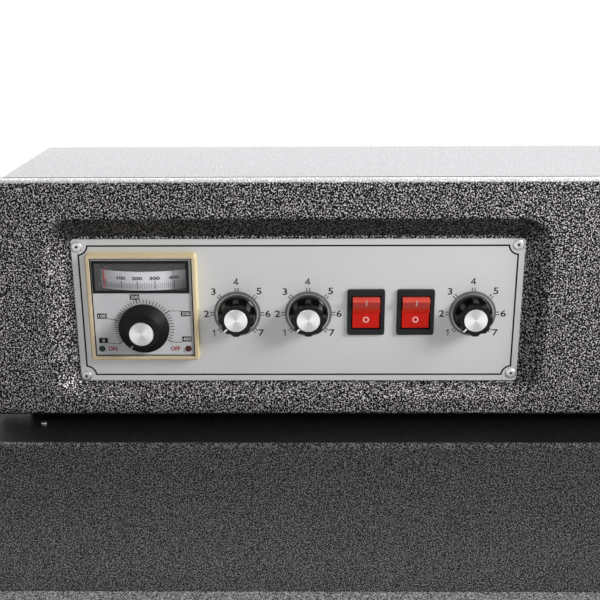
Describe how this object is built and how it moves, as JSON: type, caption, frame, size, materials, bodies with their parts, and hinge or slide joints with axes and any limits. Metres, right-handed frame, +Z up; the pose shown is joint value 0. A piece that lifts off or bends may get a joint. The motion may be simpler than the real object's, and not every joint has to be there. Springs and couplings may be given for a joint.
{
  "type": "shrink tunnel",
  "caption": "Benchtop belt conveyor shrink tunnel with a heated hood, strip curtains and a front control box.",
  "frame": {"origin": "on the bench under the middle of the machine", "axes": "+X along the belt from entry to exit, to the right of a person at the controls; the controls face -Y; +Z up"},
  "size_m": [0.85, 0.47, 0.32],
  "materials": {
    "hammertone": "grey and black hammertone stoving enamel",
    "hammertone_dark": "coarse black vein hammertone enamel",
    "black_rubber": "moulded rubber",
    "black_nylon": "moulded nylon",
    "zinc_steel": "zinc plated steel",
    "ptfe_mesh": "brown coated glass fibre mesh",
    "bronze": "sintered bronze",
    "cast_aluminium": "die cast",
    "bright_steel": "bright stainless sheet",
    "quartz": "milky quartz tube",
    "mineral_fibre": "fibre blanket",
    "laminated_steel": "stacked laminations",
    "brushed_aluminium": "brushed and anodised",
    "ivory_plastic": "gold-tinted moulding",
    "grey_plastic": "satin printed face",
    "black_plastic": "moulded",
    "clear_pane": "clear",
    "lamp_plastic": "tinted lamp domes",
    "circuit_board": "glass epoxy board",
    "pot_metal": "pressed steel can",
    "rubber_lagging": "rubber lagging on steel",
    "silicone": "amber silicone sheet",
    "black_bakelite": "glossy phenolic moulding",
    "spun_aluminium": "spun bright face",
    "red_needle": "painted pointer",
    "red_plastic": "translucent red moulding"
  },
  "bodies": {
    "machine": {"air_baffle": "bright_steel", "base_casing": "hammertone", "base_end_entry": "hammertone", "base_end_exit": "hammertone", "base_pan": "hammertone", "base_rear_panel": "hammertone", "belt_support_rods": "zinc_steel", "box_cover": "hammertone", "cable_gland": "black_nylon", "chamber_liner": "bright_steel", "control_box": "hammertone", "control_plate": "brushed_aluminium", "controller_bezel": "ivory_plastic", "controller_body": "black_plastic", "controller_face": "grey_plastic", "conveyor_belt": "ptfe_mesh", "conveyor_switch": "black_plastic", "curtain_rods": "zinc_steel", "drive_bearings": "bronze", "drive_belt": "black_rubber", "fan_motor": "laminated_steel", "fan_switch": "black_plastic", "fascia": "hammertone_dark", "gearmotor": "cast_aluminium", "heater_brackets": "bright_steel", "indicator_lamps": "lamp_plastic", "insulation_blanket": "mineral_fibre", "lower_heaters": "quartz", "lower_reflector": "bright_steel", "meter_window": "clear_pane", "motor_bracket": "zinc_steel", "potentiometers": "pot_metal", "power_board": "circuit_board", "rail_front": "zinc_steel", "rail_rear": "zinc_steel", "rubber_feet": "black_rubber", "take_up_blocks": "black_nylon", "take_up_screws": "zinc_steel", "terminal_block": "black_plastic", "tunnel_hood": "hammertone", "upper_heaters": "quartz"},
    "drive_roller": {"drive_pulley": "cast_aluminium", "drive_roller": "rubber_lagging"},
    "idler_roller": {"idler_roller": "zinc_steel"},
    "motor_pulley": {"motor_pulley": "cast_aluminium"},
    "fan_impeller": {"fan_impeller": "bright_steel"},
    "entry_curtain": {"entry_curtain": "silicone"},
    "exit_curtain": {"exit_curtain": "silicone"},
    "controller_knob": {"controller_knob": "black_bakelite", "controller_knob_cap": "spun_aluminium"},
    "meter_needle": {"meter_needle": "red_needle"},
    "upper_heat_knob": {"upper_heat_knob": "black_bakelite", "upper_heat_knob_cap": "spun_aluminium"},
    "lower_heat_knob": {"lower_heat_knob": "black_bakelite", "lower_heat_knob_cap": "spun_aluminium"},
    "speed_knob": {"speed_knob": "black_bakelite", "speed_knob_cap": "spun_aluminium"},
    "fan_rocker": {"fan_rocker": "red_plastic"},
    "conveyor_rocker": {"conveyor_rocker": "red_plastic"}
  },
  "joints": [
    {"name": "drive_roller_turn", "type": "hinge", "parent": "machine", "child": "drive_roller", "pos_m": [0.379, 0.08, 0.1317], "axis": [0, 1, 0], "continuous": true},
    {"name": "idler_roller_turn", "type": "hinge", "parent": "machine", "child": "idler_roller", "pos_m": [-0.379, 0.08, 0.1317], "axis": [0, 1, 0], "continuous": true},
    {"name": "motor_pulley_turn", "type": "hinge", "parent": "machine", "child": "motor_pulley", "pos_m": [0.33483, -0.046, 0.1062], "axis": [0, 1, 0], "continuous": true},
    {"name": "fan_turn", "type": "hinge", "parent": "machine", "child": "fan_impeller", "pos_m": [0.02, -0.041, 0.2055], "axis": [0, 1, 0], "continuous": true},
    {"name": "entry_curtain_swing", "type": "hinge", "parent": "machine", "child": "entry_curtain", "pos_m": [-0.24925, 0.08, 0.2305], "axis": [0, 1, 0], "range_deg": [-60, 60]},
    {"name": "exit_curtain_swing", "type": "hinge", "parent": "machine", "child": "exit_curtain", "pos_m": [0.24925, 0.08, 0.2305], "axis": [0, 1, 0], "range_deg": [-60, 60]},
    {"name": "controller_knob_turn", "type": "hinge", "parent": "machine", "child": "controller_knob", "pos_m": [-0.1646, -0.1825, 0.2173], "axis": [0, 1, 0], "range_deg": [0, 270]},
    {"name": "meter_needle_swing", "type": "hinge", "parent": "machine", "child": "meter_needle", "pos_m": [-0.1648, -0.1085, 0.2525], "axis": [0, 0, 1], "range_deg": [0, 44]},
    {"name": "upper_heat_knob_turn", "type": "hinge", "parent": "machine", "child": "upper_heat_knob", "pos_m": [-0.102, -0.178, 0.2257], "axis": [0, 1, 0], "range_deg": [0, 270]},
    {"name": "lower_heat_knob_turn", "type": "hinge", "parent": "machine", "child": "lower_heat_knob", "pos_m": [-0.054, -0.178, 0.2257], "axis": [0, 1, 0], "range_deg": [0, 270]},
    {"name": "speed_knob_turn", "type": "hinge", "parent": "machine", "child": "speed_knob", "pos_m": [0.0565, -0.178, 0.2257], "axis": [0, 1, 0], "range_deg": [0, 270]},
    {"name": "fan_rocker_press", "type": "hinge", "parent": "machine", "child": "fan_rocker", "pos_m": [-0.0152, -0.1775, 0.2269], "axis": [-1, 0, 0], "range_deg": [0, 28]},
    {"name": "conveyor_rocker_press", "type": "hinge", "parent": "machine", "child": "conveyor_rocker", "pos_m": [0.0181, -0.1775, 0.2269], "axis": [-1, 0, 0], "range_deg": [0, 28]}
  ],
  "couplings": [
    {"joint": "idler_roller_turn", "follows": "drive_roller_turn", "ratio": 1},
    {"joint": "motor_pulley_turn", "follows": "drive_roller_turn", "ratio": 1}
  ]
}
